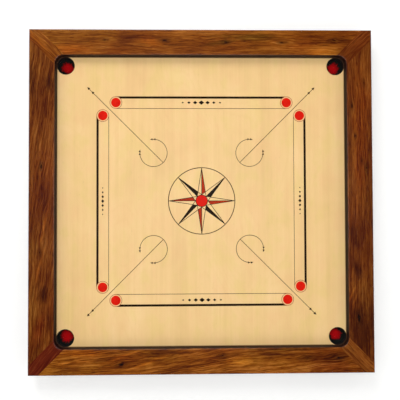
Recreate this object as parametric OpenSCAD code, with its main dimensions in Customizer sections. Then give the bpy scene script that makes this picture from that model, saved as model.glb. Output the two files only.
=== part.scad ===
// Carrom board: hardwood frame with diagonal corner keys, plywood playing panel,
// printed markings, netted corner pockets and bracing underneath. Millimetres.
// The frame rests on Z = 0 and the board is centred on the Z axis. +Y is the back.

/* [Playing surface] */
// Side of the square playing surface, between the frame's inner walls
play_size = 740; // [600:5:900]
// Thickness of the plywood panel
panel_t = 12; // [8:1:16]
// How far the panel runs under the frame's lip on each side
lip_overlap = 10; // [6:1:14]
// Side gap between the panel's edge and the frame
panel_clear = 0.3; // [0.1:0.1:1]

/* [Frame] */
// Width of each rail, seen from above
rail_w = 65; // [52:1:90]
// Height of the frame's wall above the playing surface
wall_h = 20; // [15:1:26]
// Height of the frame below the panel
under_h = 18; // [18:1:30]
// Width of the diagonal key let into each corner
key_w = 34; // [34:1:44]
// Round on the outer top edges
outer_round = 3; // [1:0.5:5]
// Round on the inner top edges
lip_round = 2; // [1:0.5:4]
// Round on the four upright corner edges
corner_round = 2.5; // [1:0.5:5]

/* [Pockets] */
// Diameter of the pocket holes
pocket_d = 44.5; // [40:0.5:50]
// Gap between a pocket hole and the frame's wall
pocket_gap = 1; // [0.5:0.1:1.2]
// Round on the rim of a pocket hole
pocket_rim_round = 0.8; // [0.4:0.1:1.5]

/* [Pocket nets] */
// How far a net's mouth laps under its ring
net_lap = 2.4; // [1.8:0.1:4]
// Thickness of the knitted net
net_t = 1.6; // [1:0.1:2]
// Gap between the lowest point of a net and the ground
net_ground_gap = 1.5; // [1:0.5:3]
// Width of the flat ring that holds a net
net_ring_w = 8.4; // [7:0.1:9]
// Thickness of the ring
net_ring_t = 2; // [1.5:0.5:3]
// Radial play between the ring's bore and the pocket hole above it
net_ring_play = 0.4; // [0.2:0.1:1]

/* [Corner dowels] */
// Diameter of the loose dowels in the corner joints
dowel_d = 10; // [8:1:12]
// How far the dowels reach into each rail
dowel_reach = 14; // [10:0.5:16]
// Height between the two dowels of a corner
dowel_pitch = 20; // [14:0.5:24]

/* [Bracing] */
// Width and height of the cleats along the rails
cleat_size = 15; // [12:1:17]
// Width of the cross battens
batten_w = 45; // [35:1:60]
// Height of the cross battens
batten_h = 15; // [12:1:17]
// Distance between the centre lines of two parallel battens
batten_pitch = 250; // [180:5:320]

/* [Fasteners] */
// Thickness of the panel left above the screws' points
screw_cover = 5; // [3:0.5:7]
// Shank diameter of the wood screws
screw_d = 4; // [3:0.5:4.5]
// Head diameter of the wood screws
screw_head_d = 8; // [6:0.5:9]
// How far the net tacks reach into the panel
tack_bite = 7; // [4:0.5:8]
// Shank diameter of the net tacks
tack_d = 2; // [1.5:0.1:2.4]
// Head diameter of the net tacks
tack_head_d = 5.4; // [4:0.1:6]
// Radial clearance round every screw, tack and dowel
drill_clear = 0.05; // [0.02:0.01:0.1]

/* [Printed markings] */
// Thickness of the printed lines
ink_t = 0.15; // [0.1:0.05:0.3]
// Distance from the frame to the outer edge of the base lines
base_offset = 101.5; // [95:0.5:110]
// Diameter of the base circles, which is also the width of the base lines' band
base_circle_d = 31.8; // [28:0.1:34]
// Diameter of the red discs in the base circles
base_disc_d = 24.6; // [20:0.1:27]
// Width of the heavy outer base line
heavy_line_w = 5.6; // [4:0.1:6.5]
// Width of the light inner base line
light_line_w = 1.1; // [0.8:0.1:2]
// Width of the base circles' outlines
fine_line_w = 1.1; // [0.6:0.1:1.4]
// Gap between a base circle and the diagonal arrow that passes it
base_arrow_gap = 7.8; // [5:0.1:10]
// Radius of the large centre circle
centre_circle_r = 86; // [75:0.5:95]
// Width of the large centre circle's line
centre_line_w = 1.9; // [0.8:0.1:2.4]
// Radius of the outline round the red centre disc
centre_disc_r = 15.9; // [14:0.1:18]
// Width of the outlines of the star's points
star_line_w = 1.4; // [0.5:0.1:1.6]
// Width of the arrows' lines and arcs
arrow_line_w = 1.3; // [0.6:0.1:1.8]
// Gap between the outer end of an arrow and its pocket's edge
arrow_pocket_gap = 55; // [45:1:60]
// Gap between the centre circle and the inner end of an arrow
arrow_centre_gap = 53; // [40:1:60]
// Radius of the open arc at the inner end of an arrow
arrow_arc_r = 35; // [30:0.5:38]
// Half of the angle that the arc leaves open towards the pocket
arrow_arc_gap = 32; // [20:1:40]
// Distance between the two heads at each end of an arrow's line
arrow_head_pitch = 15.6; // [12:0.1:20]
// Length and width of the arrowheads
arrow_head = 7; // [4:0.1:9]
// Length and width of the heads on the arc
arc_head = 5.6; // [3:0.1:6]
// Distance between the two heads at each end of the arc
arc_head_pitch = 7.3; // [6:0.1:10]
// Length of the row of lozenges on the back and front base lines
ornament_len = 112; // [80:1:140]
// Height of the largest lozenge
ornament_h = 11; // [6:0.5:14]

/* [Hidden] */

// Curves are fine enough to read as true circles
$fn = 96;
// Overshoot of a cutting tool past the face it cuts
cut = 1;

// Heights of the horizontal faces, from the ground up
panel_z = under_h;
surface_z = panel_z + panel_t;
top_z = surface_z + wall_h;

// Half widths of the square outlines
wall_half = play_size / 2;
panel_half = wall_half + lip_overlap;
rebate_half = panel_half + panel_clear;
outer_half = wall_half + rail_w;

// Pocket centres lie on the diagonals
pocket_r = pocket_d / 2;
pocket_c = wall_half - pocket_gap - pocket_r;
wall_corner_r = pocket_r + pocket_gap;

// Half of the key's width, measured along X or Y
key_reach = key_w / 2 * sqrt(2);

// Ring and net below each pocket
ring_z = panel_z - net_ring_t;
ring_bore_r = pocket_r + net_ring_play;
ring_r = ring_bore_r + net_ring_w;
net_mouth_r = ring_bore_r + net_lap;
net_depth = ring_z - net_ground_gap;
net_ball_r = (pow(net_mouth_r, 2) + pow(net_depth, 2)) / (2 * net_depth);
tack_circle_r = (net_mouth_r + ring_r) / 2;
tack_head_t = 1;
tack_len = net_ring_t + tack_bite;

// The dowels lie halfway between the frame's free faces, measured along the diagonal
dowel_len = key_w + 2 * dowel_reach;
dowel_from_corner = (dowel_len / 2 + (outer_half - rebate_half) * sqrt(2)) / 2;

// Cleats stop short of the net rings, and battens stop at the cleats
ring_side_gap = 4;
cleat_half_len = pocket_c - ring_r - ring_side_gap;
cleat_z = panel_z - cleat_size;
batten_z = panel_z - batten_h;
batten_half_len = rebate_half - cleat_size;
screw_len = batten_h + panel_t - screw_cover;
screw_end_gap = 28;
screw_offset = batten_pitch / 2 + batten_w;
batten_screw_places = [-batten_half_len + screw_end_gap, -screw_offset, 0,
    screw_offset, batten_half_len - screw_end_gap];
cleat_screw_places = [-cleat_half_len + screw_end_gap, -screw_offset, 0,
    screw_offset, cleat_half_len - screw_end_gap];
slot_w = 1;
slot_depth = 1.2;

// Markings, measured from the board's centre
base_band_y = wall_half - base_offset - base_circle_d / 2;
base_circle_x = base_band_y - (base_circle_d / 2 + base_arrow_gap) * sqrt(2);
heavy_line_y = wall_half - base_offset - heavy_line_w / 2;
light_line_y = wall_half - base_offset - base_circle_d + light_line_w / 2;
arrow_out = pocket_c * sqrt(2) - pocket_r - arrow_pocket_gap;
arrow_in = centre_circle_r + arrow_centre_gap;
arc_centre = arrow_in + arrow_arc_r;
star_points = 8;
star_step = 360 / star_points;
star_tip_r = centre_circle_r - centre_line_w;
// Each edge of a point runs from its tip to the disc's edge on the next point's axis, so it
// leaves the axis at the first angle and crosses the next point's edge at the second
star_edge_a = atan2(centre_disc_r * sin(star_step), star_tip_r - centre_disc_r * cos(star_step));
star_waist_a = star_step / 2 + star_edge_a;
star_waist_r = star_tip_r * sin(star_edge_a) / sin(star_waist_a);
arc_head_angle = arc_head_pitch / arrow_arc_r * 180 / PI;

// Colours
rosewood = [0.45, 0.23, 0.10];
rosewood_dark = [0.36, 0.16, 0.07];
golden_wood = [0.58, 0.34, 0.14];
birch = [0.91, 0.79, 0.57];
pine = [0.80, 0.66, 0.44];
beech = [0.83, 0.68, 0.47];
steel = [0.62, 0.63, 0.65];
brass = [0.75, 0.60, 0.30];
ink_black = [0.06, 0.05, 0.04];
ink_red = [0.82, 0.12, 0.06];
net_black = [0.07, 0.07, 0.07];

// A point at a distance and an angle from the centre
function polar(r, a) = [r * cos(a), r * sin(a)];

// One half of a point of the star: tip, waist and root. side is 1 or -1
function star_half(k, side) = [polar(star_tip_r, k * star_step),
    polar(star_waist_r, (k + side / 2) * star_step), polar(centre_disc_r, k * star_step)];

// The pale gap between two points and the centre disc
function star_gap(k) = [polar(star_waist_r, (k + 1 / 2) * star_step),
    polar(centre_disc_r, k * star_step), polar(centre_disc_r, (k + 1) * star_step)];

// The outer edge of the star's outline, with its tips cut square
function star_outline() = [for (k = [0 : star_points - 1], i = [-1, 1, 2])
    i == 2 ? polar(star_waist_r + star_line_w / 2 / sin(star_waist_a), (k + 1 / 2) * star_step)
        : polar(star_tip_r, k * star_step) + polar(star_line_w / 2, k * star_step + i * 90)];

// A triangle moved in from each side by half the outline's width
function inset_triangle(t) = let (
        a = norm(t[1] - t[2]), b = norm(t[2] - t[0]), c = norm(t[0] - t[1]),
        half = (a + b + c) / 2,
        middle = (a * t[0] + b * t[1] + c * t[2]) / (a + b + c),
        inner_r = sqrt((half - a) * (half - b) * (half - c) / half))
    [for (p = t) middle + (1 - star_line_w / 2 / inner_r) * (p - middle)];

// Turns the back rail's place into the left, front and right ones, and the back right
// corner into the others, anticlockwise
module turned(n) {
    rotate(90 * n) children();
}

module at_pocket() {
    translate([pocket_c, pocket_c, 0]) children();
}

// What rounding takes off a square corner that lies at the origin
module corner_waste(r) {
    difference() {
        square(r);
        translate([r, r]) circle(r);
    }
}

// Section of a rail: X from the outer face inward, Y upward
module rail_section() {
    difference() {
        square([rail_w, top_z]);
        translate([outer_half - rebate_half, -cut]) square([rail_w, surface_z + cut]);
        translate([0, top_z]) mirror([0, 1]) corner_waste(outer_round);
        translate([rail_w, top_z]) rotate(180) corner_waste(lip_round);
    }
}

// Plan of the back rail between the two corner keys
module rail_plan() {
    polygon([[-outer_half + key_reach, outer_half], [outer_half - key_reach, outer_half],
        [wall_half - key_reach, wall_half], [-wall_half + key_reach, wall_half]]);
}

// The loose dowels lie across each corner joint, one above the other
module dowel_places() {
    for (z = [-1, 1] * dowel_pitch / 2) {
        rotate(45) translate([outer_half * sqrt(2) - dowel_from_corner, 0, top_z / 2 + z])
            rotate([90, 0, 0]) children();
    }
}

module dowel_holes() {
    dowel_places() cylinder(d = dowel_d + 2 * drill_clear, h = dowel_len + cut, center = true);
}

module rail(n) {
    turned(n) difference() {
        intersection() {
            translate([-outer_half, outer_half, 0]) rotate([90, 0, 90])
                mirror([1, 0, 0]) linear_extrude(2 * outer_half) rail_section();
            linear_extrude(top_z + cut) rail_plan();
        }
        dowel_holes();
        turned(1) dowel_holes();
        cleat_screw_holes();
    }
}

// Outer block of the frame with its upright and top edges rounded
module frame_outline() {
    difference() {
        square(2 * outer_half, center = true);
        for (n = [0 : 3]) {
            turned(n) translate([outer_half, outer_half]) rotate(180) corner_waste(corner_round);
        }
    }
}

module frame_side_view() {
    difference() {
        translate([-outer_half, 0]) square([2 * outer_half, top_z]);
        translate([-outer_half, top_z]) mirror([0, 1]) corner_waste(outer_round);
        translate([outer_half, top_z]) rotate(180) corner_waste(outer_round);
    }
}

module frame_block() {
    intersection() {
        linear_extrude(top_z) frame_outline();
        translate([0, outer_half, 0]) rotate([90, 0, 0]) linear_extrude(2 * outer_half)
            frame_side_view();
        translate([-outer_half, 0, 0]) rotate([90, 0, 90]) linear_extrude(2 * outer_half)
            frame_side_view();
    }
}

// Half section of the space inside the wall, out to the given distance
module well_section(reach) {
    translate([0, surface_z - cut]) square([reach, wall_h + 2 * cut]);
    translate([reach, top_z]) mirror([0, 1]) corner_waste(lip_round);
    translate([reach, top_z]) square([lip_round, cut]);
}

// The space inside the wall near one corner, rounded in line with the pocket
module well_corner() {
    at_pocket() rotate_extrude() well_section(wall_corner_r);
    rotate([90, 0, 90]) linear_extrude(pocket_c) well_section(wall_half);
    translate([0, pocket_c, 0]) rotate([90, 0, 0]) linear_extrude(pocket_c)
        well_section(wall_half);
}

module corner_key(n) {
    turned(n) difference() {
        intersection() {
            frame_block();
            rotate(45) translate([wall_half, -key_w / 2, -cut])
                cube([outer_half, key_w, top_z + 2 * cut]);
        }
        well_corner();
        translate([0, 0, -cut]) cube([rebate_half, rebate_half, surface_z + cut]);
        dowel_holes();
    }
}

module corner_dowels() {
    color(beech) for (n = [0 : 3]) {
        turned(n) dowel_places() cylinder(d = dowel_d, h = dowel_len, center = true);
    }
}

// A pocket hole with a rounded rim
module pocket_hole() {
    translate([0, 0, panel_z - cut]) cylinder(r = pocket_r, h = panel_t + 2 * cut);
    rotate_extrude() difference() {
        translate([0, surface_z - pocket_rim_round])
            square([pocket_r + pocket_rim_round, pocket_rim_round + cut]);
        translate([pocket_r + pocket_rim_round, surface_z - pocket_rim_round])
            circle(pocket_rim_round);
    }
}

module playing_panel() {
    color(birch) difference() {
        translate([-panel_half, -panel_half, panel_z])
            cube([2 * panel_half, 2 * panel_half, panel_t]);
        for (n = [0 : 3]) {
            turned(n) at_pocket() pocket_hole();
            turned(n) at_pocket() tack_holes();
        }
        batten_screw_holes();
    }
}

// A countersunk slotted wood screw, its head's face at Z = 0 and its point upward
module wood_screw() {
    head_h = (screw_head_d - screw_d) / 2;
    difference() {
        union() {
            cylinder(d1 = screw_head_d, d2 = screw_d, h = head_h);
            cylinder(d = screw_d, h = screw_len - screw_d);
            translate([0, 0, screw_len - screw_d]) cylinder(d1 = screw_d, d2 = screw_d / 5, h = screw_d);
        }
        translate([-screw_head_d, -slot_w / 2, -cut])
            cube([2 * screw_head_d, slot_w, slot_depth + cut]);
    }
}

module screw_hole() {
    head_h = (screw_head_d - screw_d) / 2;
    translate([0, 0, -cut]) cylinder(d = screw_d + 2 * drill_clear, h = screw_len + 2 * cut);
    cylinder(d1 = screw_head_d + 2 * drill_clear, d2 = screw_d + 2 * drill_clear, h = head_h);
}

// The screws of the back cleat run outward into the rail
module cleat_screw_places() {
    for (x = cleat_screw_places) {
        translate([x, rebate_half - cleat_size, cleat_z + cleat_size / 2])
            rotate([-90, 0, 0]) children();
    }
}

module cleat_screw_holes() {
    cleat_screw_places() screw_hole();
}

module cleat(n) {
    color(pine) turned(n) difference() {
        translate([-cleat_half_len, rebate_half - cleat_size, cleat_z])
            cube([2 * cleat_half_len, cleat_size, cleat_size]);
        cleat_screw_holes();
    }
}

module cleat_screws() {
    color(steel) for (n = [0 : 3]) {
        turned(n) cleat_screw_places() wood_screw();
    }
}

// Screws of all four battens, upward into the panel
module batten_screw_places() {
    for (n = [0 : 3]) {
        turned(n) for (x = batten_screw_places) {
            translate([x, batten_pitch / 2, batten_z]) children();
        }
    }
}

module batten_screw_holes() {
    batten_screw_places() screw_hole();
}

// A batten along X at the given Y, before its halving joints are cut
module batten_bar(y) {
    translate([-batten_half_len, y - batten_w / 2, batten_z])
        cube([2 * batten_half_len, batten_w, batten_h]);
}

// Battens along X keep their lower half where the others cross, which keep their upper
module batten_x(y) {
    color(pine) difference() {
        batten_bar(y);
        for (x = [-1, 1] * batten_pitch / 2) {
            translate([x - batten_w / 2, y - batten_w, batten_z + batten_h / 2])
                cube([batten_w, 2 * batten_w, batten_h]);
        }
        batten_screw_holes();
    }
}

module batten_y(x) {
    color(pine) difference() {
        rotate(-90) batten_bar(x);
        for (y = [-1, 1] * batten_pitch / 2) {
            translate([x - batten_w, y - batten_w / 2, batten_z - batten_h / 2])
                cube([2 * batten_w, batten_w, batten_h]);
        }
        batten_screw_holes();
    }
}

module batten_screws() {
    color(steel) batten_screw_places() wood_screw();
}

// A pocket net as a bowl that hangs from its ring
module pocket_net(n) {
    color(net_black) turned(n) at_pocket() difference() {
        translate([0, 0, net_ground_gap + net_ball_r]) sphere(net_ball_r);
        translate([0, 0, net_ground_gap + net_ball_r]) sphere(net_ball_r - net_t);
        translate([-net_ball_r, -net_ball_r, ring_z]) cube(2 * net_ball_r);
    }
}

module tack_places() {
    for (a = [0 : 90 : 270]) {
        rotate(a) translate([tack_circle_r, 0, ring_z]) children();
    }
}

module tack_holes() {
    tack_places() cylinder(d = tack_d + 2 * drill_clear, h = tack_len + cut);
}

module net_ring(n) {
    color(net_black) turned(n) at_pocket() difference() {
        translate([0, 0, ring_z]) cylinder(r = ring_r, h = net_ring_t);
        translate([0, 0, ring_z - cut]) cylinder(r = ring_bore_r, h = net_ring_t + 2 * cut);
        translate([0, 0, -cut]) tack_holes();
    }
}

module net_tacks() {
    color(brass) for (n = [0 : 3]) {
        turned(n) at_pocket() tack_places() {
            cylinder(d = tack_d, h = tack_len);
            translate([0, 0, -tack_head_t]) cylinder(d = tack_head_d, h = tack_head_t);
        }
    }
}

// Printed ink lies on the panel
module ink() {
    translate([0, 0, surface_z]) linear_extrude(ink_t) children();
}

// An outline whose outer edge has the given radius
module ring_line(r, w) {
    difference() {
        circle(r);
        circle(r - w);
    }
}

// The two base circles of the back band
module base_circle_places() {
    for (x = [-base_circle_x, base_circle_x]) {
        translate([x, base_band_y]) children();
    }
}

module base_lines() {
    color(ink_black) ink() for (n = [0 : 3]) {
        turned(n) difference() {
            union() {
                translate([0, heavy_line_y]) square([2 * base_circle_x, heavy_line_w], center = true);
                translate([0, light_line_y]) square([2 * base_circle_x, light_line_w], center = true);
            }
            base_circle_places() circle(base_circle_d / 2);
        }
    }
}

module base_circle_outlines() {
    color(ink_black) ink() for (n = [0 : 3]) {
        turned(n) base_circle_places() ring_line(base_circle_d / 2, fine_line_w);
    }
}

module base_circle_discs() {
    color(ink_red) ink() for (n = [0 : 3]) {
        turned(n) base_circle_places() circle(d = base_disc_d);
    }
}

module centre_circle() {
    color(ink_black) ink() ring_line(centre_circle_r, centre_line_w);
}

module centre_disc() {
    color(ink_red) ink() circle(centre_disc_r - star_line_w);
}

// Outlines of all the points and the filled halves of the diagonal ones
module star_black() {
    color(ink_black) ink() difference() {
        union() {
            difference() {
                polygon(star_outline());
                for (k = [0 : star_points - 1]) {
                    polygon(inset_triangle(star_half(k, 1)));
                    polygon(inset_triangle(star_gap(k)));
                }
                for (k = [0 : 2 : star_points - 1]) {
                    polygon(inset_triangle(star_half(k, -1)));
                }
            }
            circle(centre_disc_r);
        }
        circle(centre_disc_r - star_line_w);
    }
}

module star_red() {
    color(ink_red) ink() for (k = [0 : 2 : star_points - 1]) {
        polygon(inset_triangle(star_half(k, -1)));
    }
}

// A filled arrowhead with its point at the origin, towards +X
module head(size) {
    polygon([[0, 0], [-size, size / 2], [-size, -size / 2]]);
}

module pocket_arrow() {
    translate([arrow_in, -arrow_line_w / 2])
        square([arrow_out - arrow_in - arrow_head / 2, arrow_line_w]);
    for (i = [0, 1]) {
        translate([arrow_out - i * arrow_head_pitch, 0]) head(arrow_head);
    }
    translate([arc_centre, 0]) {
        difference() {
            ring_line(arrow_arc_r + arrow_line_w / 2, arrow_line_w);
            polygon([[0, 0], 2 * polar(arrow_arc_r, -arrow_arc_gap),
                2 * polar(arrow_arc_r, arrow_arc_gap)]);
        }
        for (side = [-1, 1], i = [0, 1]) {
            angle = side * (arrow_arc_gap + i * arc_head_angle);
            translate(polar(arrow_arc_r, angle)) rotate(angle - side * 90) head(arc_head);
        }
    }
}

module pocket_arrows() {
    color(ink_black) ink() for (n = [0 : 3]) {
        rotate(45 + 90 * n) pocket_arrow();
    }
}

module lozenge(w, h) {
    polygon([[-w / 2, 0], [0, -h / 2], [w / 2, 0], [0, h / 2]]);
}

// A row of lozenges that get smaller from the middle to the ends
module ornament() {
    pitch = ornament_len / 7;
    for (i = [-3 : 3]) {
        size = 1 - abs(i) * 0.2;
        translate([i * pitch, 0]) lozenge(pitch * 0.9 * size, ornament_h * size);
    }
}

module base_line_ornaments() {
    color(ink_black) ink() for (n = [0 : 3]) {
        turned(n) translate([0, base_band_y]) scale(n % 2 == 0 ? 1 : 0.7) ornament();
    }
}

color(rosewood) rail(0);  // rail_back
color(rosewood_dark) rail(1);  // rail_left
color(rosewood) rail(2);  // rail_front
color(rosewood_dark) rail(3);  // rail_right
color(rosewood_dark) corner_key(0);  // corner_key_back_right
color(golden_wood) corner_key(1);  // corner_key_back_left
color(rosewood_dark) corner_key(2);  // corner_key_front_left
color(golden_wood) corner_key(3);  // corner_key_front_right
corner_dowels();
playing_panel();
cleat(0);  // cleat_back
cleat(1);  // cleat_left
cleat(2);  // cleat_front
cleat(3);  // cleat_right
cleat_screws();
batten_x(batten_pitch / 2);  // batten_back
batten_x(-batten_pitch / 2);  // batten_front
batten_y(-batten_pitch / 2);  // batten_left
batten_y(batten_pitch / 2);  // batten_right
batten_screws();
pocket_net(0);  // pocket_net_back_right
pocket_net(1);  // pocket_net_back_left
pocket_net(2);  // pocket_net_front_left
pocket_net(3);  // pocket_net_front_right
net_ring(0);  // net_ring_back_right
net_ring(1);  // net_ring_back_left
net_ring(2);  // net_ring_front_left
net_ring(3);  // net_ring_front_right
net_tacks();
base_lines();
base_circle_outlines();
base_circle_discs();
centre_circle();
centre_disc();
star_black();
star_red();
pocket_arrows();
base_line_ornaments();
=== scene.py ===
import math
import random

import bpy
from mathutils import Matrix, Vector


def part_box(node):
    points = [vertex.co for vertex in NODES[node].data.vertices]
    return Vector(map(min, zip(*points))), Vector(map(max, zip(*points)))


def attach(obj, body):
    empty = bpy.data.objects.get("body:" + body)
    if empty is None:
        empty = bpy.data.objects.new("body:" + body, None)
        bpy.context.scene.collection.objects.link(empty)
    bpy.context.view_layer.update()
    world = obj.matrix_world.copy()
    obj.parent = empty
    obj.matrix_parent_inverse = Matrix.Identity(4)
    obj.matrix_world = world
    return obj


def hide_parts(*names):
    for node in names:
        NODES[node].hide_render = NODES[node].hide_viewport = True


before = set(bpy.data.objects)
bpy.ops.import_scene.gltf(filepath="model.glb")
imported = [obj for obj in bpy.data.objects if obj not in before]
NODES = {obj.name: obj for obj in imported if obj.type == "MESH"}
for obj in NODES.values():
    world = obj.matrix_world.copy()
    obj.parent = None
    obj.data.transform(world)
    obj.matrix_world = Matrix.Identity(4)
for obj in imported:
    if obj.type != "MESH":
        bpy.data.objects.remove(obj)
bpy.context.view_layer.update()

TAU = 2 * math.pi

# Places that the rest is built on, all in metres and all taken from the frame
PANEL_LOW, PANEL_HIGH = (Vector(corner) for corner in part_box("playing_panel"))
SURFACE_Z = PANEL_HIGH.z
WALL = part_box("rail_right")[0][0]
RING_LOW, RING_HIGH = (Vector(corner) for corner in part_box("net_ring_back_right"))
POCKET = ((RING_LOW + RING_HIGH) / 2).x
NET_LOW, NET_HIGH = (Vector(corner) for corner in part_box("pocket_net_back_right"))
CORNERS = {"back_right": (1, 1), "back_left": (-1, 1), "front_left": (-1, -1), "front_right": (1, -1)}


# ---------------------------------------------------------------- camera, light and floor

def make_camera():
    """Nearly straight above the board, a little left of and in front of its centre, as in the photo."""
    data = bpy.data.cameras.new("camera")
    data.sensor_width = 36
    data.lens = 45
    camera = bpy.data.objects.new("camera", data)
    camera.location = (-0.0302, -0.0269, SURFACE_Z + 1.2795)
    camera.rotation_euler = (math.radians(1.304), math.radians(-1.152), math.radians(-0.198))
    bpy.context.collection.objects.link(camera)
    bpy.context.scene.camera = camera


def area_light(name, place, size, power, colour):
    """A soft square lamp that faces the board's centre."""
    data = bpy.data.lights.new(name, "AREA")
    data.size = size
    data.energy = power
    data.color = colour
    lamp = bpy.data.objects.new(name, data)
    lamp.location = place
    lamp.rotation_euler = Vector(place).to_track_quat("Z", "Y").to_euler()
    bpy.context.collection.objects.link(lamp)


def make_studio():
    """Soft light mostly from above and the back, with weak fill from the other sides.

    No lamp stands where the rails' lacquer would mirror it. The Standard view transform keeps the wood's
    strong colours, which the default one washes out.
    """
    bpy.context.scene.view_settings.view_transform = "Standard"
    area_light("top_light", (0.0, 0.1, 2.6), 1.0, 25, (1.0, 1.0, 0.99))
    area_light("key_light", (-0.8, 2.5, 2.1), 1.5, 36, (1.0, 0.99, 0.97))
    area_light("left_light", (-2.6, 0.2, 1.8), 1.6, 8, (1.0, 1.0, 0.99))
    area_light("right_light", (2.6, 0.0, 1.7), 1.6, 6, (1.0, 1.0, 0.99))
    area_light("front_light", (0.2, -2.6, 2.0), 1.8, 10, (0.99, 0.99, 1.0))
    world = bpy.data.worlds.new("studio")
    world.use_nodes = True
    background = world.node_tree.nodes["Background"]
    background.inputs["Color"].default_value = (0.98, 0.98, 1.0, 1)
    background.inputs["Strength"].default_value = 0.08
    bpy.context.scene.world = world


def make_floor():
    """A pale floor that curves up into a backdrop all round."""
    flat_r = 3.0
    sweep_r = 1.5
    backdrop_h = 5.0
    sweep_steps = 12
    sides = 64
    profile = [(flat_r / 2, 0.0), (flat_r, 0.0)]
    for step in range(1, sweep_steps + 1):
        a = step / sweep_steps * math.pi / 2
        profile.append((flat_r + sweep_r * math.sin(a), sweep_r * (1 - math.cos(a))))
    profile.append((flat_r + sweep_r, backdrop_h))
    verts = [(r * math.cos(TAU * k / sides), r * math.sin(TAU * k / sides), z)
             for r, z in profile for k in range(sides)]
    verts.append((0.0, 0.0, 0.0))
    faces = [(len(verts) - 1, k, (k + 1) % sides) for k in range(sides)]
    for row in range(len(profile) - 1):
        for k in range(sides):
            a, b = row * sides + k, row * sides + (k + 1) % sides
            faces.append((a, a + sides, b + sides, b))
    mesh = bpy.data.meshes.new("floor")
    mesh.from_pydata(verts, [], faces)
    mesh.polygons.foreach_set("use_smooth", [True] * len(faces))
    floor = bpy.data.objects.new("floor", mesh)
    bpy.context.collection.objects.link(floor)
    g = Graph("floor_paint")
    clouds = g.noise(g.place, 3.0)
    g.set("Base Color", g.ramp(clouds, [(0.3, (0.86, 0.86, 0.855)), (0.7, (0.88, 0.88, 0.875))]))
    g.set("Roughness", 0.9)
    g.set("Specular IOR Level", 0.2)
    g.set("Emission Color", (1, 1, 1, 1))
    g.set("Emission Strength", 0.20)
    mesh.materials.append(g.material)


# ---------------------------------------------------------------- short names for node trees

class Num:
    """A number in a material's node tree. Arithmetic on it adds Math nodes."""

    def __init__(self, graph, socket):
        self.graph = graph
        self.socket = socket

    def __add__(self, other):
        return self.graph.math("ADD", self, other)

    def __sub__(self, other):
        return self.graph.math("SUBTRACT", self, other)

    def __mul__(self, other):
        return self.graph.math("MULTIPLY", self, other)

    def __truediv__(self, other):
        return self.graph.math("DIVIDE", self, other)

    def __rsub__(self, other):
        return self.graph.math("SUBTRACT", other, self)


class Graph:
    """A material with one Principled shader, and short calls for the nodes that feed it."""

    def __init__(self, name):
        self.material = bpy.data.materials.new(name)
        self.material.use_nodes = True
        self.tree = self.material.node_tree
        self.shader = self.tree.nodes["Principled BSDF"]
        self.place = self.tree.nodes.new("ShaderNodeTexCoord").outputs["Object"]
        self.normal = self.tree.nodes.new("ShaderNodeNewGeometry").outputs["Normal"]

    def put(self, socket, value):
        """Links a Num or socket to a socket, or sets the socket to a plain value."""
        value = value.socket if isinstance(value, Num) else value
        if isinstance(value, bpy.types.NodeSocket):
            self.tree.links.new(value, socket)
        else:
            socket.default_value = value

    def set(self, name, value):
        self.put(self.shader.inputs[name], value)

    def math(self, operation, a, b=0.0):
        node = self.tree.nodes.new("ShaderNodeMath")
        node.operation = operation
        for socket, value in zip(node.inputs, (a, b)):
            self.put(socket, value)
        return Num(self, node.outputs[0])

    def split(self, vector):
        node = self.tree.nodes.new("ShaderNodeSeparateXYZ")
        self.put(node.inputs[0], vector)
        return [Num(self, out) for out in node.outputs]

    def join(self, x, y, z):
        node = self.tree.nodes.new("ShaderNodeCombineXYZ")
        for socket, value in zip(node.inputs, (x, y, z)):
            self.put(socket, value)
        return node.outputs[0]

    def noise(self, vector, scale=1.0, detail=2.0, rough=0.5, distortion=0.0):
        node = self.tree.nodes.new("ShaderNodeTexNoise")
        self.put(node.inputs["Vector"], vector)
        settings = {"Scale": scale, "Detail": detail, "Roughness": rough, "Distortion": distortion}
        for name, value in settings.items():
            node.inputs[name].default_value = value
        return Num(self, node.outputs[0])

    def step(self, value, low, high, start=0.0, end=1.0):
        """Goes smoothly from start to end as the value goes from low to high."""
        node = self.tree.nodes.new("ShaderNodeMapRange")
        node.interpolation_type = "SMOOTHSTEP"
        for socket, number in zip(node.inputs, (value, low, high, start, end)):
            self.put(socket, number)
        return Num(self, node.outputs[0])

    def ramp(self, value, stops):
        node = self.tree.nodes.new("ShaderNodeValToRGB")
        self.put(node.inputs[0], value)
        elements = node.color_ramp.elements
        while len(elements) < len(stops):
            elements.new(0.5)
        for element, (position, colour) in zip(elements, stops):
            element.position = position
            element.color = (*colour, 1)
        return node.outputs[0]

    def mix(self, amount, a, b, blend="MIX"):
        node = self.tree.nodes.new("ShaderNodeMix")
        node.data_type = "RGBA"
        node.blend_type = blend
        for socket, value in zip((node.inputs[0], node.inputs[6], node.inputs[7]), (amount, a, b)):
            self.put(socket, (*value, 1) if isinstance(value, tuple) else value)
        return node.outputs[2]

    def scaled(self, colour, factor):
        """A colour made lighter or darker by a number."""
        node = self.tree.nodes.new("ShaderNodeVectorMath")
        node.operation = "SCALE"
        self.put(node.inputs[0], colour)
        self.put(node.inputs["Scale"], factor)
        return node.outputs[0]

    def bump(self, height, distance, strength):
        node = self.tree.nodes.new("ShaderNodeBump")
        node.inputs["Strength"].default_value = strength
        node.inputs["Distance"].default_value = distance
        self.put(node.inputs["Height"], height)
        self.put(self.shader.inputs["Normal"], node.outputs[0])

    def lacquer(self, weight, roughness):
        self.shader.inputs["Coat Weight"].default_value = weight
        self.shader.inputs["Coat Roughness"].default_value = roughness


def give(node, material):
    """Puts one material in every slot of a CAD node's object."""
    for slot in NODES[node].material_slots:
        slot.material = material


# ---------------------------------------------------------------- wood

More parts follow.
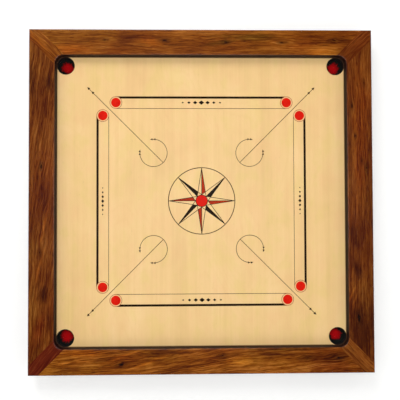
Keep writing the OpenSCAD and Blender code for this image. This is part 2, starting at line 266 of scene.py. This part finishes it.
# Each palette runs from the darkest streaks to the palest: place on the ramp, then colour
ROSEWOOD_ORANGE = [
    (0.12, (0.075, 0.012, 0.0006)),
    (0.34, (0.150, 0.033, 0.0012)),
    (0.50, (0.222, 0.057, 0.0034)),
    (0.66, (0.300, 0.088, 0.0075)),
    (0.88, (0.430, 0.152, 0.0220)),
]
ROSEWOOD_BROWN = [
    (0.12, (0.048, 0.005, 0.0006)),
    (0.34, (0.094, 0.016, 0.0012)),
    (0.50, (0.142, 0.032, 0.0028)),
    (0.66, (0.195, 0.052, 0.0060)),
    (0.88, (0.305, 0.100, 0.0160)),
]
ROSEWOOD_RED = [
    (0.15, (0.038, 0.002, 0.0006)),
    (0.50, (0.096, 0.0085, 0.0018)),
    (0.85, (0.185, 0.031, 0.0065)),
]
ROSEWOOD_GOLD = [
    (0.15, (0.070, 0.012, 0.0010)),
    (0.50, (0.155, 0.040, 0.0034)),
    (0.85, (0.330, 0.115, 0.0160)),
]


def grain_axes(g, angle, seed):
    """Distances along and across the grain, and depth, shifted so that no two pieces match."""
    x, y, z = g.split(g.place)
    along = x * math.cos(angle) + y * math.sin(angle) + seed
    across = y * math.cos(angle) - x * math.sin(angle)
    return along, across, z


def knot(g, axes, angle, seed, place, size, ragged):
    """Bends the grain round a knot. Gives the bent across value and how dark the knot is."""
    along, across, _ = axes
    knot_along = place[0] * math.cos(angle) + place[1] * math.sin(angle) + seed
    knot_across = place[1] * math.cos(angle) - place[0] * math.sin(angle)
    da = along - knot_along
    dc = across - knot_across
    distance = g.math("SQRT", da * da * 0.15 + dc * dc)
    squeeze = g.step(distance, 0.0, size * 2.6, 0.85, 0.0)
    torn = distance + (ragged - 0.5) * (size * 1.5)
    eye = g.step(torn, size * 0.10, size * 0.75, 1.0, 0.0)
    halo = g.step(torn, size * 0.3, size * 2.0, 0.42, 0.0)
    tail_reach = g.math("SQRT", da * da * 0.016 + dc * dc * 1.6)
    tail = g.step(tail_reach + (ragged - 0.5) * (size * 0.8), size * 0.1, size * 0.7, 0.5, 0.0)
    return across - dc * squeeze, g.math("MAXIMUM", g.math("MAXIMUM", eye, halo), tail)


def patched(g, colour, patches, ragged):
    """Tints the wood in soft ragged ovals, each given by its centre, half lengths, tilt and tint."""
    x, y, _ = g.split(g.place)
    for (px, py), (half_u, half_v), tilt, tint in patches:
        u = (x - px) * math.cos(tilt) + (y - py) * math.sin(tilt)
        v = (y - py) * math.cos(tilt) - (x - px) * math.sin(tilt)
        reach = g.math("SQRT", u * u / (half_u * half_u) + v * v / (half_v * half_v))
        mask = g.step(reach + (ragged - 0.5) * 1.3, 0.15, 1.15, 1.0, 0.0)
        colour = g.mix(mask, colour, tint, "MULTIPLY")
    return colour


def rosewood(name, angle, seed, palette, knots=(), patches=(), wander=0.014, slope=0.0, contrast=1.0):
    """Lacquered rosewood: wavy streaks along the grain, dark lines, pores, knots, and painted shade on the
    arrises and upright faces.

    Each knot is a place and a size. Wander is how far the grain strays, and slope how far it runs off square
    to the piece.
    """
    g = Graph(name)
    along, across, z = grain_axes(g, angle, seed)
    _, _, up = g.split(g.normal)
    ragged = g.noise(g.join(along * 45, across * 130, seed), detail=3.0, rough=0.65)
    dark_spots = 0.0
    for place, size in knots:
        across, depth = knot(g, (along, across, z), angle, seed, place, size, ragged)
        dark_spots = g.math("MAXIMUM", dark_spots, depth)
    drift = g.noise(g.join(along * 5.5, across * 14, seed), detail=2.0, rough=0.45) - 0.5
    curl = g.noise(g.join(along * 24, across * 48, seed + 4), detail=2.0) - 0.5
    flow = across + drift * (wander * 2) + curl * 0.0048 + along * slope
    deep = z * 0.8 + flow
    figure = g.noise(g.join(along * 4.2, deep * 46, z * 9 + seed), detail=4.0, rough=0.6)
    streaks = g.noise(g.join(along * 9, deep * 185, z * 20), detail=4.0, rough=0.7)
    fine = g.noise(g.join(along * 20, deep * 420, z * 60), detail=3.0, rough=0.7)
    dashes = g.step(g.noise(g.join(along * 55, deep * 300, z * 40 + seed), detail=1.0), 0.58, 0.74)
    cloud = g.noise(g.join(along * 7, flow * 17, seed * 3), detail=3.0)
    fibre = g.noise(g.join(along * 46, deep * 1500, z * 700), detail=2.0, rough=0.7)
    pores = g.step(g.noise(g.join(along * 150, deep * 2600, z * 1300), detail=1.0), 0.64, 0.74)
    swing = (figure - 0.5) * 1.15 + (streaks - 0.5) * 1.35 + (fine - 0.5) * 1.5 + (cloud - 0.5) * 0.75
    colour = g.ramp((swing - dashes * 0.20) * contrast + 0.505, palette)
    rings = g.math("FRACT", deep * 78 + (figure - 0.5) * 4.2 + (fine - 0.5) * 0.3)
    lines = g.step(rings, 0.70, 0.93) * g.step(rings, 0.99, 0.94) * g.step(cloud + streaks, 0.88, 1.10)
    colour = g.mix(lines * (0.62 * contrast), colour, g.scaled(colour, 0.36))
    red = g.noise(g.join(along * 5, flow * 13, seed + 9), detail=2.0)
    colour = g.mix(g.step(red, 0.50, 0.66) * 0.5, colour, (0.90, 0.62, 0.50), "MULTIPLY")
    colour = g.mix(g.step(red, 0.48, 0.34) * 0.6, colour, (0.98, 1.16, 1.0), "MULTIPLY")
    colour = patched(g, colour, patches, ragged)
    # Painted shade darkens the arrises and upright faces, the inner walls most of all. Nicks have worn the
    # arrises lighter
    arris = g.step(up, 0.96, 0.72)
    upright = g.step(up, 0.55, 0.15)
    x, y, _ = g.split(g.place)
    from_middle = g.math("MAXIMUM", g.math("ABSOLUTE", x), g.math("ABSOLUTE", y))
    inside = g.step(from_middle, WALL + 0.004, WALL + 0.002)
    nicks = g.step(g.noise(g.place, 85.0, 2.0), 0.66, 0.70) * arris
    light = (fibre - 0.5) * 0.36 + 1.0
    # Painted shade: arrises and upright faces darker, the inner walls darkest
    light = light * (1.0 - arris * 0.40) * (1.0 - upright * (inside * 0.24 + 0.60)) + nicks * 0.2
    colour = g.scaled(colour, light * (1.0 - pores * 0.42))
    colour = g.mix(dark_spots, colour, g.scaled(colour, 0.16))
    g.set("Base Color", colour)
    g.set("Roughness", g.step(fibre, 0.3, 0.7, 0.20, 0.27) + upright * 0.45)
    g.set("Specular IOR Level", 0.24)
    g.lacquer(0.04, 0.10)
    g.bump(figure * 0.35 - pores * 0.22 + fibre * 0.10, 0.00035, 0.45)
    return g.material


def plain_timber(name, angle, seed, pale, dark, ring_pitch):
    """Bare sawn softwood or beech: growth rings along the grain, a few darker flecks, saw marks."""
    g = Graph(name)
    along, across, z = grain_axes(g, angle, seed)
    drift = g.noise(g.join(along * 3.5, across * 25, z * 25 + seed), detail=2.0) - 0.5
    radius = across + z * 0.7 + drift * 0.012
    rings = g.math("FRACT", g.math("ABSOLUTE", radius / ring_pitch + seed))
    late = g.step(rings, 0.45, 0.97) - g.step(rings, 0.97, 1.0)
    fibre = g.noise(g.join(along * 60, across * 1900, z * 1900), detail=2.0, rough=0.7)
    flecks = g.step(g.noise(g.join(along * 30, across * 420, z * 420 + seed)), 0.66, 0.72)
    colour = g.mix(late * 0.75 + flecks * 0.25, pale, dark)
    colour = g.scaled(colour, (fibre - 0.5) * 0.28 + 1.0)
    saw = g.math("SINE", (along + across * 0.15) * 2600)
    g.set("Base Color", colour)
    g.set("Roughness", g.step(fibre, 0.3, 0.7, 0.62, 0.78))
    g.bump(fibre * 0.7 + late * 0.3 + saw * 0.10, 0.00022, 0.6)
    return g.material


BIRCH = [(0.36, (0.770, 0.505, 0.218)), (0.50, (0.835, 0.560, 0.250)), (0.64, (0.880, 0.605, 0.290))]
BIRCH_EDGE = [(0.2, (0.30, 0.17, 0.075)), (0.55, (0.58, 0.39, 0.20)), (0.9, (0.74, 0.55, 0.33))]
PLIES = 9
BORE_PAINT_R = 0.0232


def birch_ply(name):
    """The playing panel: lacquered birch face, layered edges, black bores and a raw underside."""
    g = Graph(name)
    x, y, z = g.split(g.place)
    _, _, up = g.split(g.normal)
    # The face veneer's grain runs from front to back
    drift = g.noise(g.join(x * 9, y * 2.2, 4.0), detail=2.0) - 0.5
    cross = x + drift * 0.010
    bands = g.noise(g.join(cross * 24, y * 0.8, 2.0), detail=3.0, rough=0.55)
    streaks = g.noise(g.join(cross * 210, y * 3.0, 5.0), detail=3.0, rough=0.6)
    fibre = g.noise(g.join(cross * 1500, y * 34, 7.0), detail=2.0, rough=0.6)
    cloud = g.noise(g.join(x * 8, y * 5.5, 1.0), detail=3.0, rough=0.55, distortion=0.4)
    patch = g.noise(g.join(x * 19 + 3.0, y * 11, 6.0), detail=3.0, rough=0.6)
    # Rotary-cut veneer: faint nested contours, drawn out along the grain
    contour = g.noise(g.join(x * 5.2, y * 2.1, 9.0), detail=1.0, distortion=0.3)
    curls = g.math("FRACT", contour * 26 + (streaks - 0.5) * 0.8)
    curls = g.step(curls, 0.55, 0.92) * g.step(curls, 1.0, 0.93) * g.step(cloud, 0.46, 0.60)
    tone = bands * 0.40 + streaks * 0.17 + cloud * 0.43 - curls * 0.035
    face = g.ramp(tone, BIRCH)
    face = g.mix(g.step(patch, 0.50, 0.64) * 0.75, face, (1.0, 0.955, 0.98), "MULTIPLY")
    face = g.mix(g.step(patch, 0.50, 0.36) * 0.75, face, (0.965, 1.005, 0.90), "MULTIPLY")
    face = g.scaled(face, (fibre - 0.5) * 0.07 + 1.0)
    pin = g.step(g.noise(g.join(cross * 330, y * 75, 3.0), detail=1.0), 0.73, 0.78)
    face = g.mix(pin * 0.22, face, (0.52, 0.34, 0.17))
    # The plies show in the edge, every other one as end grain
    ply = g.math("SINE", (z - PANEL_LOW.z) / (PANEL_HIGH.z - PANEL_LOW.z) * TAU * (PLIES / 2))
    edge_noise = g.noise(g.join(x * 500, y * 500, z * 3000), detail=2.0)
    edge = g.ramp(ply * 0.42 + edge_noise * 0.25 + 0.36, BIRCH_EDGE)
    # The pocket bores are painted black
    dx = g.math("ABSOLUTE", x) - POCKET
    dy = g.math("ABSOLUTE", y) - POCKET
    bore_distance = g.math("SQRT", dx * dx + dy * dy)
    pocket_edge = g.step(bore_distance, BORE_PAINT_R, BORE_PAINT_R + 0.0003, 1.0, 0.0)
    # Painted shade along the foot of the walls, and in the narrow strip outside each pocket
    edge_place = g.math("MAXIMUM", g.math("ABSOLUTE", x), g.math("ABSOLUTE", y))
    painted_shade_strips = g.step(edge_place, WALL - 0.0035, WALL - 0.0002)
    pocket_strip_painted_shade = g.step(dx + dy, 0.006, 0.018) * g.step(bore_distance, 0.030, 0.0225)
    painted_shade_strips = g.math("MAXIMUM", painted_shade_strips, pocket_strip_painted_shade)
    # Painted shade: the strips are mixed towards dark brown
    face = g.mix(painted_shade_strips * 0.95, face, (0.07, 0.022, 0.006))
    paint = g.ramp(edge_noise, [(0.3, (0.006, 0.006, 0.006)), (0.7, (0.014, 0.013, 0.012))])
    edge = g.mix(pocket_edge, edge, paint)
    raw = g.ramp(tone + (streaks - 0.5) * 0.3, [(0.3, (0.50, 0.34, 0.17)), (0.7, (0.66, 0.48, 0.28))])
    on_top = g.step(up, 0.75, 0.95)
    below = g.step(up, -0.5, -0.9)
    colour = g.mix(on_top, edge, face)
    colour = g.mix(below, colour, raw)
    g.set("Base Color", colour)
    g.set("Roughness", g.math("SUBTRACT", 0.62, on_top * 0.24) + (cloud - 0.5) * 0.08)
    g.set("Specular IOR Level", 0.16)
    g.bump(fibre * 0.4 + streaks * 0.4 - pin * 0.3, 0.00012, 0.35)
    return g.material


# ---------------------------------------------------------------- ink, metal, plastic and yarn

def ink(name, pale, dark):
    """Screen-printed ink under lacquer: a little uneven, and worn thin in places."""
    g = Graph(name)
    blotch = g.noise(g.place, 60.0, 3.0, 0.6)
    specks = g.step(g.noise(g.place, 900.0, 2.0, 0.7), 0.66, 0.78)
    colour = g.ramp(blotch, [(0.35, dark), (0.65, pale)])
    g.set("Base Color", g.mix(specks * 0.10, colour, (0.55, 0.36, 0.14)))
    g.set("Roughness", g.step(blotch, 0.3, 0.7, 0.36, 0.46))
    g.set("Specular IOR Level", 0.05)
    g.bump(specks + blotch * 0.5, 0.00003, 0.4)
    return g.material


def metal(name, pale, dark, rough_low, rough_high):
    g = Graph(name)
    scratches = g.noise(g.place, 700.0, 4.0, 0.7)
    stains = g.noise(g.place, 120.0, 3.0)
    colour = g.ramp(stains, [(0.35, dark), (0.62, pale)])
    g.set("Base Color", colour)
    g.set("Metallic", 1.0)
    g.set("Roughness", g.step(scratches, 0.35, 0.65, rough_low, rough_high))
    g.bump(scratches, 0.00004, 0.5)
    return g.material


def ring_plastic(name):
    g = Graph(name)
    grains = g.noise(g.place, 1400.0, 2.0, 0.6)
    scuffs = g.noise(g.place, 160.0, 3.0)
    g.set("Base Color", g.ramp(scuffs, [(0.35, (0.012, 0.012, 0.013)), (0.7, (0.040, 0.040, 0.042))]))
    g.set("Roughness", g.step(scuffs, 0.3, 0.7, 0.38, 0.60))
    g.bump(grains, 0.00006, 0.5)
    return g.material


def yarn(name, pale, dark, sheen, shade=1.0):
    """Twisted cotton yarn: fine fuzz, a soft sheen, and painted shade that darkens it up the bag to the
    factor given.
    """
    g = Graph(name)
    fuzz = g.noise(g.place, 2600.0, 3.0, 0.7)
    lint = g.noise(g.place, 420.0, 2.0)
    _, _, z = g.split(g.place)
    colour = g.ramp(fuzz * 0.7 + lint * 0.3, [(0.36, dark), (0.62, pale)])
    # Painted shade: the yarn darkens up the bag towards its mouth
    colour = g.scaled(colour, g.step(z + (lint - 0.5) * 0.004, 0.0035, 0.0105, 1.0, shade))
    g.set("Base Color", colour)
    g.set("Roughness", g.step(lint, 0.3, 0.7, 0.78, 0.92))
    g.set("Specular IOR Level", 0.15)
    g.shader.inputs["Sheen Weight"].default_value = sheen
    g.shader.inputs["Sheen Roughness"].default_value = 0.5
    g.bump(fuzz, 0.00025, 0.7)
    return g.material


# ---------------------------------------------------------------- pocket nets

YARN_R = 0.00086
NET_ROWS = 16
TUBE_SIDES = 5
STEPS_PER_STITCH = 9
RED_ROWS = 10.0
SPIKES = 34
STITCH_WIDTH = 0.0034
LOOP_LEAN = 1.05       # How far a loop's sides bulge past its neck, as an angle in the stitch's own turn
LOOP_REACH = 0.86      # How far a loop reaches from its row, in row pitches


def add_tube(verts, faces, ring_points, radius):
    """Adds a closed tube of the given radius along a closed list of points."""
    start = len(verts)
    count = len(ring_points)
    for i, point in enumerate(ring_points):
        ahead = (ring_points[(i + 1) % count] - ring_points[i - 1]).normalized()
        side = ahead.cross(Vector((0, 0, 1))).normalized()
        up = side.cross(ahead)
        for k in range(TUBE_SIDES):
            a = TAU * k / TUBE_SIDES
            verts.append(point + (side * math.cos(a) + up * math.sin(a)) * radius)
    for i in range(count):
        for k in range(TUBE_SIDES):
            a, b = start + i * TUBE_SIDES, start + (i + 1) % count * TUBE_SIDES
            j = (k + 1) % TUBE_SIDES
            faces.append((a + k, b + k, b + j, a + j))


def bowl_point(ball_r, centre_z, arc, angle, lift):
    """A point on the net's bowl: arc is the distance from the bottom, measured along it."""
    tilt = arc / ball_r
    r = ball_r - lift
    flat = r * math.sin(tilt)
    return Vector((flat * math.cos(angle), flat * math.sin(angle), centre_z - r * math.cos(tilt)))


def red_edge(spikes, angle):
    """How many rows up from the bottom the red yarn reaches at an angle."""
    return RED_ROWS + spikes[int(angle / TAU * SPIKES) % SPIKES]


def make_net(corner, black, red):
    """A knitted bag: rows of interlocking loops round a bowl, black above and red below."""
    sx, sy = CORNERS[corner]
    chance = random.Random(corner)
    low_z, high_z = NET_LOW.z + YARN_R, NET_HIGH.z - YARN_R
    mouth_r = (NET_HIGH.x - NET_LOW.x) / 2 - YARN_R
    depth = high_z - low_z
    ball_r = (mouth_r ** 2 + depth ** 2) / (2 * depth)
    centre_z = low_z + ball_r
    mouth_arc = ball_r * math.asin(mouth_r / ball_r)
    pitch = mouth_arc / (NET_ROWS + 0.4)
    verts, faces, slots = [], [], []
    spikes = [chance.uniform(-2.6, 1.9) for _ in range(SPIKES)]
    for row in range(NET_ROWS):
        arc = pitch * (row + 0.9)
        stitches = max(5, round(TAU * ball_r * math.sin(arc / ball_r) / STITCH_WIDTH))
        shift = chance.random() * TAU
        points = []
        for i in range(stitches * STEPS_PER_STITCH):
            t = TAU * i / STEPS_PER_STITCH
            turn = (t + LOOP_LEAN * math.sin(2 * t)) / stitches + shift
            wave = pitch * LOOP_REACH * math.cos(t)
            lift = YARN_R * (1.15 + 1.0 * math.cos(2 * t))
            points.append(bowl_point(ball_r, centre_z, max(arc + wave, 0.0008), turn, lift))
        add_tube(verts, faces, points, YARN_R)
        for stitch in range(stitches):
            angle = TAU * (stitch + 0.5) / stitches + shift
            is_red = arc < pitch * red_edge(spikes, angle)
            slots.extend([1 if is_red else 0] * TUBE_SIDES * STEPS_PER_STITCH)
    mesh = bpy.data.meshes.new("net_" + corner)
    mesh.from_pydata([(v.x + sx * POCKET, v.y + sy * POCKET, v.z) for v in verts], [], faces)
    mesh.materials.append(black)
    mesh.materials.append(red)
    mesh.polygons.foreach_set("material_index", slots)
    mesh.polygons.foreach_set("use_smooth", [True] * len(mesh.polygons))
    net = bpy.data.objects.new("net_" + corner, mesh)
    bpy.context.collection.objects.link(net)
    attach(net, "root")
    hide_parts("pocket_net_" + corner)


def make_nets():
    black = yarn("black_yarn", (0.010, 0.012, 0.010), (0.002, 0.002, 0.002), 0.03)
    # The red yarn's last number is how dark its painted shade grows at the top of the bag
    red = yarn("red_yarn", (0.95, 0.005, 0.010), (0.66, 0.001, 0.004), 0.04, 0.30)
    for corner in CORNERS:
        make_net(corner, black, red)


# ---------------------------------------------------------------- materials on the CAD nodes

QUARTER = math.pi / 2


# Tints of the cloudy patches, by which the wood's own colour is multiplied
DARK = (0.62, 0.50, 0.45)
DARKER = (0.42, 0.30, 0.30)
BRIGHT = (1.50, 1.50, 1.35)
OLIVE = (0.62, 0.74, 0.55)


def finish_back_rail():
    knots = [
        ((-0.244, 0.407), 0.0040),
        ((-0.094, 0.407), 0.0055),
        ((0.060, 0.403), 0.0040),
        ((0.204, 0.402), 0.005),
        ((0.340, 0.408), 0.005),
    ]
    patches = [
        ((-0.190, 0.408), (0.045, 0.022), 0.4, DARK),
        ((-0.130, 0.404), (0.035, 0.016), -0.3, BRIGHT),
        ((0.048, 0.401), (0.048, 0.009), 0.15, OLIVE),
        ((0.120, 0.416), (0.110, 0.012), 0.0, OLIVE),
        ((0.292, 0.401), (0.075, 0.0035), 0.03, DARKER),
        ((0.305, 0.378), (0.045, 0.011), 0.0, BRIGHT),
        ((0.372, 0.385), (0.030, 0.040), 0.5, DARK),
        ((-0.330, 0.385), (0.060, 0.012), 0.0, BRIGHT),
    ]
    give("rail_back", rosewood("rosewood_back", 0.0, 3.1, ROSEWOOD_ORANGE, knots, patches, contrast=0.80))


def finish_front_rail():
    knots = [
        ((-0.203, -0.408), 0.007),
        ((0.050, -0.389), 0.005),
        ((0.264, -0.396), 0.006),
        ((0.342, -0.396), 0.008),
    ]
    patches = [
        ((-0.303, -0.379), (0.062, 0.012), 0.0, BRIGHT),
        ((-0.321, -0.402), (0.060, 0.0022), 0.10, (1.9, 2.1, 3.0)),
        ((-0.330, -0.420), (0.055, 0.010), 0.0, DARK),
        ((-0.130, -0.402), (0.070, 0.005), 0.35, BRIGHT),
        ((-0.190, -0.385), (0.050, 0.004), 0.35, BRIGHT),
        ((-0.095, -0.378), (0.040, 0.008), 0.0, DARK),
        ((0.094, -0.404), (0.045, 0.012), 0.0, BRIGHT),
        ((0.178, -0.386), (0.055, 0.008), 0.0, DARKER),
        ((0.200, -0.374), (0.100, 0.004), 0.0, OLIVE),
        ((0.330, -0.402), (0.110, 0.060), 0.0, (0.62, 0.44, 0.42)),
    ]
    give("rail_front", rosewood("rosewood_front", 0.0, 7.7, ROSEWOOD_ORANGE, knots, patches, slope=-0.10))


def finish_left_rail():
    knots = [
        ((-0.403, 0.087), 0.004),
        ((-0.406, -0.128), 0.0035),
    ]
    patches = [
        ((-0.384, 0.298), (0.013, 0.030), 0.0, DARKER),
        ((-0.424, 0.300), (0.010, 0.060), 0.0, DARK),
        ((-0.397, -0.232), (0.012, 0.028), -0.2, DARKER),
        ((-0.384, -0.300), (0.007, 0.045), 0.0, DARK),
        ((-0.412, -0.330), (0.016, 0.060), -0.3, (1.05, 0.75, 0.8)),
        ((-0.395, -0.060), (0.004, 0.075), -0.22, BRIGHT),
        ((-0.405, -0.160), (0.004, 0.060), -0.25, BRIGHT),
    ]
    give("rail_left", rosewood("rosewood_left", QUARTER, 12.4, ROSEWOOD_BROWN, knots, patches,
                               slope=0.10, contrast=0.85))


def finish_right_rail():
    knots = [
        ((0.414, 0.300), 0.004),
        ((0.383, 0.239), 0.005),
        ((0.391, 0.164), 0.004),
        ((0.407, 0.100), 0.003),
        ((0.419, 0.083), 0.005),
        ((0.396, -0.298), 0.008),
    ]
    patches = [
        ((0.402, 0.170), (0.026, 0.200), 0.0, (1.42, 1.36, 1.0)),
        ((0.388, -0.090), (0.012, 0.040), 0.2, DARK),
        ((0.396, -0.178), (0.014, 0.030), 0.3, DARKER),
        ((0.378, -0.238), (0.0035, 0.026), -0.4, (2.0, 2.4, 2.4)),
        ((0.386, -0.250), (0.0030, 0.022), -0.4, (1.8, 2.1, 2.1)),
        ((0.402, -0.330), (0.050, 0.110), 0.0, DARKER),
    ]
    give("rail_right", rosewood("rosewood_right", QUARTER, 18.9, ROSEWOOD_BROWN, knots, patches,
                                wander=0.009, contrast=0.80))


def finish_corner_keys():
    """Each key has its own colour. The grain runs along the key, so along one diagonal or the other."""
    streaked = [
        ((-0.412, 0.405), (0.045, 0.006), -0.75, (1.3, 1.3, 1.2)),
        ((-0.385, 0.400), (0.035, 0.005), -0.8, DARK),
    ]
    reddened = [((0.405, 0.405), (0.100, 0.100), 0.0, (0.78, 0.52, 0.45))]
    browned = [((0.405, -0.405), (0.100, 0.100), 0.0, (0.74, 0.60, 0.55))]
    rising, falling = QUARTER / 2, -QUARTER / 2
    give("corner_key_back_left", rosewood("key_back_left", falling, 23.3, ROSEWOOD_ORANGE,
                                          patches=streaked, wander=0.02, contrast=0.75))
    give("corner_key_back_right", rosewood("key_back_right", rising, 29.5, ROSEWOOD_BROWN,
                                           patches=reddened, wander=0.02, contrast=0.75))
    give("corner_key_front_left", rosewood("key_front_left", rising, 33.8, ROSEWOOD_RED,
                                           wander=0.02, contrast=0.6))
    give("corner_key_front_right", rosewood("key_front_right", falling, 38.2, ROSEWOOD_GOLD,
                                            patches=browned, wander=0.006))


def finish_bracing():
    pine = ((0.62, 0.42, 0.21), (0.42, 0.235, 0.095))
    beech = ((0.66, 0.45, 0.26), (0.55, 0.34, 0.18))
    for number, side in enumerate(("back", "front", "left", "right")):
        angle = 0.0 if side in ("back", "front") else QUARTER
        give("cleat_" + side, plain_timber("pine_cleat_" + side, angle, 2.3 + number, *pine, 0.0042))
        give("batten_" + side, plain_timber("pine_batten_" + side, angle, 9.1 + number, *pine, 0.0055))
    give("corner_dowels", plain_timber("beech", QUARTER / 2, 5.0, *beech, 0.0015))
    steel = metal("zinc_steel", (0.60, 0.60, 0.58), (0.42, 0.42, 0.42), 0.22, 0.42)
    give("cleat_screws", steel)
    give("batten_screws", steel)
    give("net_tacks", metal("tack_brass", (0.70, 0.50, 0.22), (0.48, 0.31, 0.12), 0.20, 0.38))
    plastic = ring_plastic("ring_plastic")
    for corner in CORNERS:
        give("net_ring_" + corner, plastic)


def finish_playing_surface():
    give("playing_panel", birch_ply("lacquered_birch"))
    black = ink("black_ink", (0.020, 0.009, 0.0020), (0.009, 0.004, 0.0010))
    fine = ink("fine_line_ink", (0.038, 0.018, 0.0030), (0.020, 0.009, 0.0015))
    red = ink("red_ink", (0.74, 0.012, 0.0030), (0.60, 0.007, 0.0020))
    star_red = ink("star_red_ink", (0.46, 0.034, 0.0080), (0.34, 0.022, 0.0050))
    outline = ink("outline_red_ink", (0.40, 0.022, 0.0050), (0.30, 0.014, 0.0030))
    for node in ("base_lines", "star_black", "base_line_ornaments"):
        give(node, black)
    for node in ("centre_circle", "pocket_arrows"):
        give(node, fine)
    for node in ("base_circle_discs", "centre_disc"):
        give(node, red)
    give("base_circle_outlines", outline)
    give("star_red", star_red)


make_camera()
make_studio()
make_floor()
finish_back_rail()
finish_front_rail()
finish_left_rail()
finish_right_rail()
finish_corner_keys()
finish_bracing()
finish_playing_surface()
make_nets()
